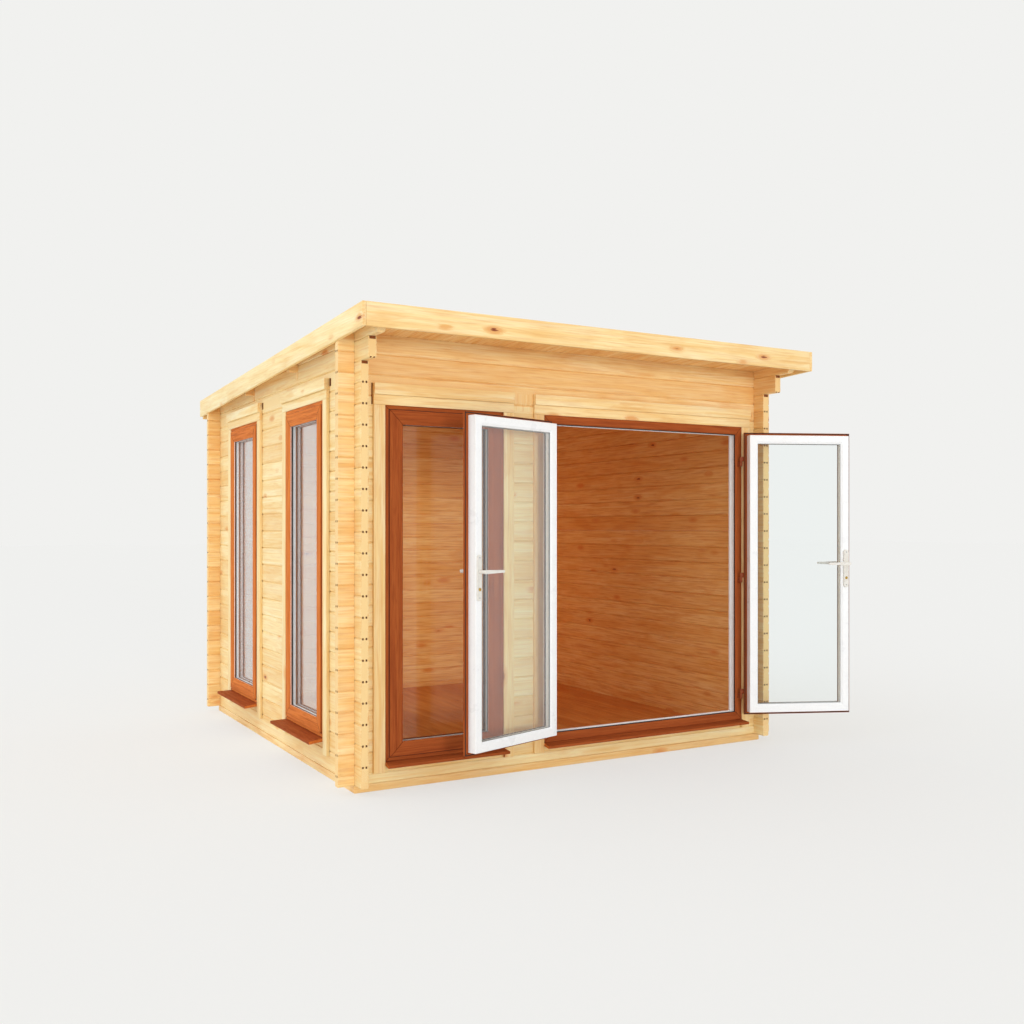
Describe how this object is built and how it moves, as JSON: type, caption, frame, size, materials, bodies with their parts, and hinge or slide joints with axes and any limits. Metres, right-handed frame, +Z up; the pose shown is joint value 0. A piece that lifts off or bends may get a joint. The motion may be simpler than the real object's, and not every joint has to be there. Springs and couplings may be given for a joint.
{
  "type": "garden office pod",
  "caption": "Log-built garden office with a single-slope roof, interlocking log corners, tall side windows, a large front window and glazed double doors that swing open.",
  "frame": {"origin": "on the ground, at the middle of the rectangle of the wall centre lines, under the middle floor joist", "axes": "+X to the right along the front wall, +Y from the front to the back, +Z up"},
  "size_m": [3.3686, 3.4369, 2.4821],
  "materials": {
    "planed_pine": "planed pine logs and boards",
    "floor_pine": "planed pine floorboards",
    "oak_foil": "moulded plastic with a golden oak wood-grain foil",
    "white_upvc": "smooth white moulded plastic, oak foil outside",
    "clear_glass": "clear sealed double glazing",
    "roof_membrane": "matt black roof membrane",
    "brown_metal": "brown painted hinge",
    "cream_metal": "off-white painted handle",
    "key_brass": "satin brass key cylinder"
  },
  "bodies": {
    "cabin": {"floor_bearers": "planed_pine", "front_wall_logs": "planed_pine", "back_wall_logs": "planed_pine", "left_wall_logs": "planed_pine", "right_wall_logs": "planed_pine", "roof_purlins": "planed_pine", "front_fascia": "planed_pine", "back_fascia": "planed_pine", "left_barge_board": "planed_pine", "right_barge_board": "planed_pine", "storm_braces": "planed_pine", "floor_deck": "floor_pine", "roof_boards": "planed_pine", "roof_membrane": "roof_membrane", "front_window_frame": "oak_foil", "front_window_sash": "oak_foil", "front_window_glass": "clear_glass", "front_window_sill": "oak_foil", "front_window_trim": "planed_pine", "left_front_window_frame": "oak_foil", "left_front_window_sash": "oak_foil", "left_front_window_glass": "clear_glass", "left_front_window_sill": "oak_foil", "left_front_window_trim": "planed_pine", "left_rear_window_frame": "oak_foil", "left_rear_window_sash": "oak_foil", "left_rear_window_glass": "clear_glass", "left_rear_window_sill": "oak_foil", "left_rear_window_trim": "planed_pine", "door_frame": "oak_foil", "door_sill": "oak_foil", "door_trim": "planed_pine", "frame_hinges": "brown_metal"},
    "left_door": {"left_door_sash": "white_upvc", "left_door_glass": "clear_glass", "left_door_hinges": "brown_metal", "left_door_plates": "cream_metal", "left_door_lock": "key_brass"},
    "right_door": {"right_door_sash": "white_upvc", "right_door_glass": "clear_glass", "right_door_hinges": "brown_metal", "right_door_plates": "cream_metal", "right_door_lock": "key_brass"},
    "left_door_handle": {"left_door_lever": "cream_metal"},
    "right_door_handle": {"right_door_lever": "cream_metal"}
  },
  "joints": [
    {"name": "left_door_swing", "type": "hinge", "parent": "cabin", "child": "left_door", "pos_m": [-0.226, -1.456, 1.153], "axis": [0, 0, 1], "range_deg": [0, 162]},
    {"name": "right_door_swing", "type": "hinge", "parent": "cabin", "child": "right_door", "pos_m": [1.21, -1.456, 1.153], "axis": [0, 0, -1], "range_deg": [0, 157]},
    {"name": "left_door_lever_turn", "type": "hinge", "parent": "left_door", "child": "left_door_handle", "pos_m": [-0.8412, -1.72108, 1.153], "axis": [-0.309, 0.9511, 0], "range_deg": [0, 40], "stiffness_Nm_per_rad": 2, "springref_deg": -34.38},
    {"name": "right_door_lever_turn", "type": "hinge", "parent": "right_door", "child": "right_door_handle", "pos_m": [1.79975, -1.77369, 1.153], "axis": [-0.3907, -0.9205, 0], "range_deg": [0, 40], "stiffness_Nm_per_rad": 2, "springref_deg": -34.38}
  ]
}
